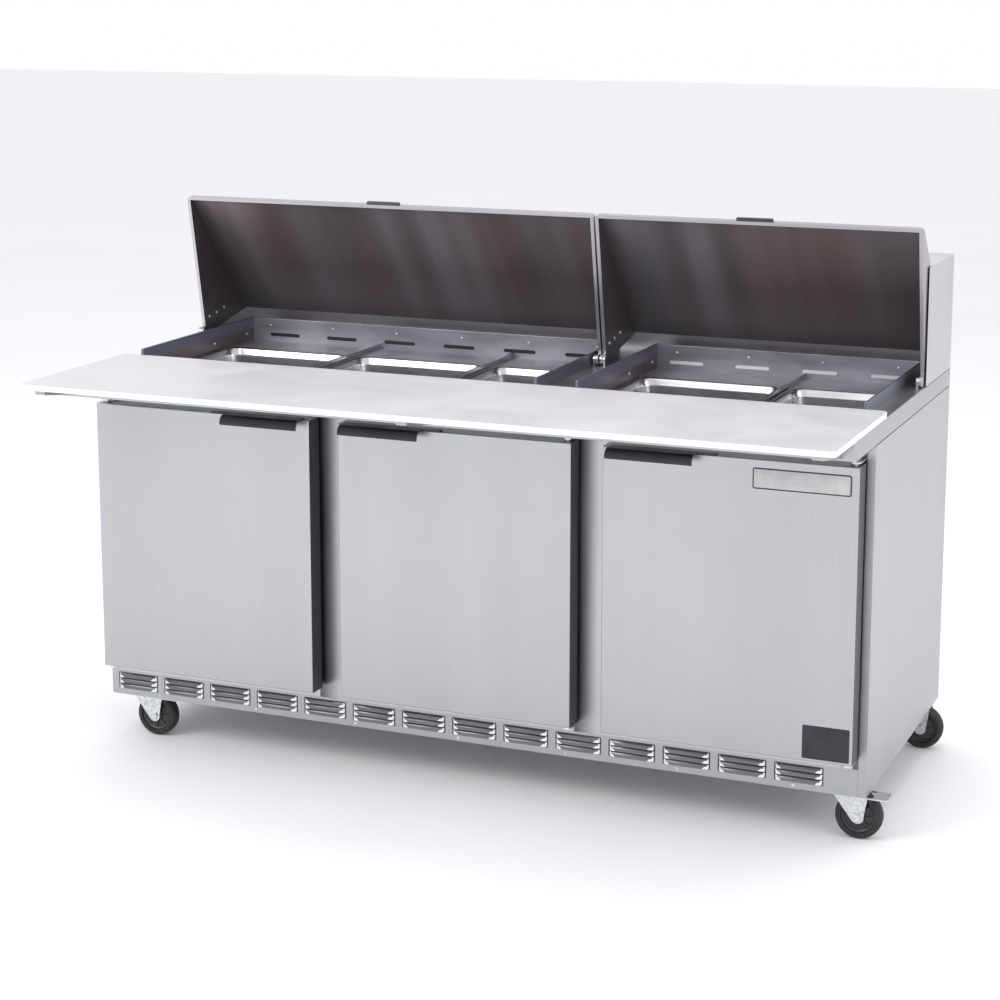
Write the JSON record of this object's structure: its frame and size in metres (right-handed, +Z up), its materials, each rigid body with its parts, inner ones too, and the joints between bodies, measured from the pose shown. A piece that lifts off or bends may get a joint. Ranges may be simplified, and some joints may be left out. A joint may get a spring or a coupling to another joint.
{
  "type": "sandwich prep table",
  "caption": "Refrigerated sandwich prep table: doored cabinet on casters, full-width cutting board, recessed food pans and two hinged wedge lids folding into a rear housing.",
  "frame": {"origin": "on the floor, under the centre of the whole table seen from above", "axes": "+X to the right along the front, +Y to the back, +Z up"},
  "size_m": [1.869, 1.06, 1.264],
  "materials": {
    "stainless": "brushed",
    "stainless_front": "vertical brushed",
    "lid_steel": "brushed",
    "well_steel": "brushed",
    "pan_steel": "satin",
    "board_plastic": "fine grained",
    "handle_plastic": "satin",
    "gasket_vinyl": "matte",
    "zinc": "zinc plated",
    "galvanised": "galvanised",
    "liner_metal": "stucco",
    "foam": "foam",
    "wheel_rubber": "matte",
    "coil_fins": "plain",
    "compressor_paint": "satin black",
    "fan_plastic": "gloss",
    "shelf_wire": "epoxy coated",
    "knob_plastic": "gloss"
  },
  "bodies": {
    "cabinet": {"left_side_panel": "stainless", "right_side_panel": "stainless", "rear_panel": "stainless", "front_frame": "stainless", "countertop": "stainless", "rear_housing": "stainless", "grille": "stainless", "base_deck": "galvanised", "base_rails": "galvanised", "insulation": "foam", "cabinet_liner": "liner_metal", "board_supports": "stainless", "divider_bars": "pan_steel", "lid_hinges": "zinc", "door_hinges": "zinc", "shelf_supports": "galvanised", "left_pan_well": "well_steel", "right_pan_well": "well_steel", "evaporator_shroud": "liner_metal", "evaporator_coil": "coil_fins", "condenser_coil": "coil_fins", "condenser_shroud": "galvanised", "compressor": "compressor_paint", "fan_motors": "galvanised", "caster_plates": "zinc"},
    "board": {"cutting_board": "board_plastic"},
    "left_lid": {"left_lid": "lid_steel", "left_lid_handle": "handle_plastic"},
    "left_pan_1": {"left_pan_1": "pan_steel"},
    "left_pan_2": {"left_pan_2": "pan_steel"},
    "left_pan_3": {"left_pan_3": "pan_steel"},
    "right_lid": {"right_lid": "lid_steel", "right_lid_handle": "handle_plastic"},
    "right_pan_1": {"right_pan_1": "pan_steel"},
    "right_pan_2": {"right_pan_2": "pan_steel"},
    "left_door": {"left_door": "stainless_front", "left_door_gasket": "gasket_vinyl", "left_door_handle": "handle_plastic"},
    "left_shelf": {"left_shelf": "shelf_wire"},
    "middle_door": {"middle_door": "stainless_front", "middle_door_gasket": "gasket_vinyl", "middle_door_handle": "handle_plastic"},
    "middle_shelf": {"middle_shelf": "shelf_wire"},
    "right_door": {"right_door": "stainless_front", "right_door_gasket": "gasket_vinyl", "right_door_handle": "handle_plastic"},
    "right_shelf": {"right_shelf": "shelf_wire"},
    "evaporator_fan": {"evaporator_fan_blades": "fan_plastic"},
    "condenser_fan": {"condenser_fan_blades": "fan_plastic"},
    "thermostat": {"thermostat_knob": "knob_plastic"},
    "front_left_caster": {"front_left_caster_fork": "zinc"},
    "front_left_wheel": {"front_left_wheel": "wheel_rubber"},
    "front_left_brake": {"front_left_brake_pedal": "zinc"},
    "front_right_caster": {"front_right_caster_fork": "zinc"},
    "front_right_wheel": {"front_right_wheel": "wheel_rubber"},
    "front_right_brake": {"front_right_brake_pedal": "zinc"},
    "rear_left_caster": {"rear_left_caster_fork": "zinc"},
    "rear_left_wheel": {"rear_left_wheel": "wheel_rubber"},
    "rear_right_caster": {"rear_right_caster_fork": "zinc"},
    "rear_right_wheel": {"rear_right_wheel": "wheel_rubber"}
  },
  "joints": [
    {"name": "left_door_hinge", "type": "hinge", "parent": "cabinet", "child": "left_door", "pos_m": [-0.9015, -0.228, 0.507], "axis": [0, 0, -1], "range_deg": [0, 90], "stiffness_Nm_per_rad": 2.5, "springref_deg": -57.3},
    {"name": "middle_door_hinge", "type": "hinge", "parent": "cabinet", "child": "middle_door", "pos_m": [0.24, -0.228, 0.507], "axis": [0, 0, 1], "range_deg": [0, 90], "stiffness_Nm_per_rad": 2.5, "springref_deg": -57.3},
    {"name": "right_door_hinge", "type": "hinge", "parent": "cabinet", "child": "right_door", "pos_m": [0.8615, -0.228, 0.507], "axis": [0, 0, 1], "range_deg": [0, 90], "stiffness_Nm_per_rad": 2.5, "springref_deg": -57.3},
    {"name": "left_lid_hinge", "type": "hinge", "parent": "cabinet", "child": "left_lid", "pos_m": [0, 0.252, 0.913], "axis": [1, 0, 0], "range_deg": [0, 79.4]},
    {"name": "right_lid_hinge", "type": "hinge", "parent": "cabinet", "child": "right_lid", "pos_m": [0, 0.252, 0.913], "axis": [1, 0, 0], "range_deg": [0, 79.4]},
    {"name": "board_lift", "type": "slide", "parent": "cabinet", "child": "board", "axis": [0, 0, 1], "range_m": [0, 0.08]},
    {"name": "left_pan_1_lift", "type": "slide", "parent": "cabinet", "child": "left_pan_1", "axis": [0, 0, 1], "range_m": [0, 0.05]},
    {"name": "left_pan_2_lift", "type": "slide", "parent": "cabinet", "child": "left_pan_2", "axis": [0, 0, 1], "range_m": [0, 0.05]},
    {"name": "left_pan_3_lift", "type": "slide", "parent": "cabinet", "child": "left_pan_3", "axis": [0, 0, 1], "range_m": [0, 0.05]},
    {"name": "right_pan_1_lift", "type": "slide", "parent": "cabinet", "child": "right_pan_1", "axis": [0, 0, 1], "range_m": [0, 0.05]},
    {"name": "right_pan_2_lift", "type": "slide", "parent": "cabinet", "child": "right_pan_2", "axis": [0, 0, 1], "range_m": [0, 0.05]},
    {"name": "front_left_swivel", "type": "hinge", "parent": "cabinet", "child": "front_left_caster", "pos_m": [-0.8745, -0.144, 0.12], "axis": [0, 0, 1], "continuous": true},
    {"name": "front_right_swivel", "type": "hinge", "parent": "cabinet", "child": "front_right_caster", "pos_m": [0.8345, -0.144, 0.12], "axis": [0, 0, 1], "continuous": true},
    {"name": "rear_left_swivel", "type": "hinge", "parent": "cabinet", "child": "rear_left_caster", "pos_m": [-0.8745, 0.466, 0.12], "axis": [0, 0, 1], "continuous": true},
    {"name": "rear_right_swivel", "type": "hinge", "parent": "cabinet", "child": "rear_right_caster", "pos_m": [0.8345, 0.466, 0.12], "axis": [0, 0, 1], "continuous": true},
    {"name": "front_left_wheel_roll", "type": "hinge", "parent": "front_left_caster", "child": "front_left_wheel", "pos_m": [-0.8385, -0.144, 0.0508], "axis": [0, 1, 0], "continuous": true},
    {"name": "front_right_wheel_roll", "type": "hinge", "parent": "front_right_caster", "child": "front_right_wheel", "pos_m": [0.8705, -0.144, 0.0508], "axis": [0, 1, 0], "continuous": true},
    {"name": "rear_left_wheel_roll", "type": "hinge", "parent": "rear_left_caster", "child": "rear_left_wheel", "pos_m": [-0.8385, 0.466, 0.0508], "axis": [0, 1, 0], "continuous": true},
    {"name": "rear_right_wheel_roll", "type": "hinge", "parent": "rear_right_caster", "child": "rear_right_wheel", "pos_m": [0.8705, 0.466, 0.0508], "axis": [0, 1, 0], "continuous": true},
    {"name": "front_left_brake_press", "type": "hinge", "parent": "front_left_caster", "child": "front_left_brake", "pos_m": [-0.8245, -0.144, 0.0958], "axis": [0, 1, 0], "range_deg": [0, 10]},
    {"name": "front_right_brake_press", "type": "hinge", "parent": "front_right_caster", "child": "front_right_brake", "pos_m": [0.8845, -0.144, 0.0958], "axis": [0, 1, 0], "range_deg": [0, 10]},
    {"name": "left_shelf_lift", "type": "slide", "parent": "cabinet", "child": "left_shelf", "axis": [0, 0, 1], "range_m": [0, 0.04]},
    {"name": "middle_shelf_lift", "type": "slide", "parent": "cabinet", "child": "middle_shelf", "axis": [0, 0, 1], "range_m": [0, 0.04]},
    {"name": "right_shelf_lift", "type": "slide", "parent": "cabinet", "child": "right_shelf", "axis": [0, 0, 1], "range_m": [0, 0.04]},
    {"name": "evaporator_fan_spin", "type": "hinge", "parent": "cabinet", "child": "evaporator_fan", "pos_m": [-0.02, 0.239, 0.6775], "axis": [0, -1, 0], "continuous": true},
    {"name": "condenser_fan_spin", "type": "hinge", "parent": "cabinet", "child": "condenser_fan", "pos_m": [-0.5465, 0.45265, 0.3], "axis": [1, 0, 0], "continuous": true},
    {"name": "thermostat_turn", "type": "hinge", "parent": "cabinet", "child": "thermostat", "pos_m": [0.105, 0.22, 0.6775], "axis": [0, -1, 0], "range_deg": [0, 270]}
  ]
}
